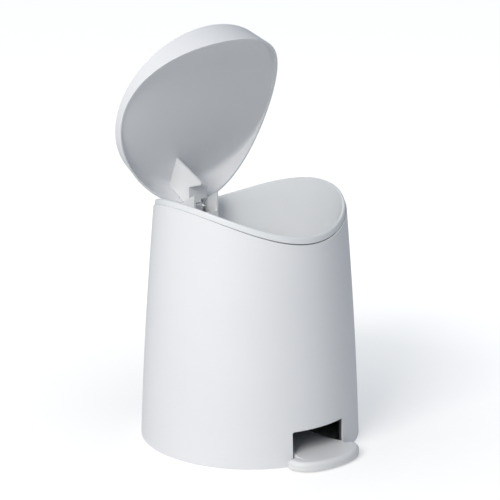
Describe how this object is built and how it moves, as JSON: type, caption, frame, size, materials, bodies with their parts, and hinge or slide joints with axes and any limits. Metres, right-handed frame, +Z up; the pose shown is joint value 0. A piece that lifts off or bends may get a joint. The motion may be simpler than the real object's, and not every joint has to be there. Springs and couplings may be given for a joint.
{
  "type": "pedal trash can",
  "caption": "Small round pedal bin with a tapered shell, a saddle-shaped rim, a lift-out bucket and a hinged lid raised by a foot pedal through a push rod.",
  "frame": {"origin": "centre of the round foot, on the floor", "axes": "+Z up, -Y towards the pedal at the front, +X to the right seen from the front; the lid hinges about an axis along X at the back (+Y)"},
  "size_m": [0.2, 0.2374, 0.3672],
  "materials": {
    "white_polypropylene": "satin moulded polypropylene",
    "bucket_polypropylene": "satin moulded polypropylene",
    "pedal_polypropylene": "satin moulded polypropylene",
    "dark_polypropylene": "matt moulded polypropylene",
    "steel": "drawn, zinc plated",
    "pad_rubber": "soft, matt"
  },
  "bodies": {
    "bin": {"outer_shell": "white_polypropylene", "base_frame": "dark_polypropylene", "foot_pad_1": "pad_rubber", "foot_pad_2": "pad_rubber", "foot_pad_3": "pad_rubber", "foot_pad_4": "pad_rubber", "hinge_bracket": "white_polypropylene", "rod_guide": "white_polypropylene", "back_screws": "steel", "inner_bucket": "bucket_polypropylene", "pedal_axle": "steel", "axle_clips": "steel"},
    "lid": {"lid_cover": "white_polypropylene", "hinge_arm": "white_polypropylene", "arm_screws": "steel", "hinge_pin": "steel"},
    "pedal": {"pedal_lever": "pedal_polypropylene"},
    "rod": {"push_rod": "steel", "rod_foot": "dark_polypropylene", "rod_head": "white_polypropylene"}
  },
  "joints": [
    {"name": "lid_hinge", "type": "hinge", "parent": "bin", "child": "lid", "pos_m": [0, 0.0856, 0.19928], "axis": [1, 0, 0], "range_deg": [0, 65.93]},
    {"name": "pedal_pivot", "type": "hinge", "parent": "bin", "child": "pedal", "pos_m": [0, 0.02, 0.012], "axis": [-1, 0, 0], "range_deg": [0, 7.36]},
    {"name": "rod_slide", "type": "slide", "parent": "bin", "child": "rod", "axis": [0, 0, -1], "range_m": [0, 0.00751]}
  ],
  "couplings": [
    {"joint": "pedal_pivot", "follows": "lid_hinge", "ratio": 0.1116},
    {"joint": "rod_slide", "follows": "lid_hinge", "m_per_rad": 0.00652}
  ]
}
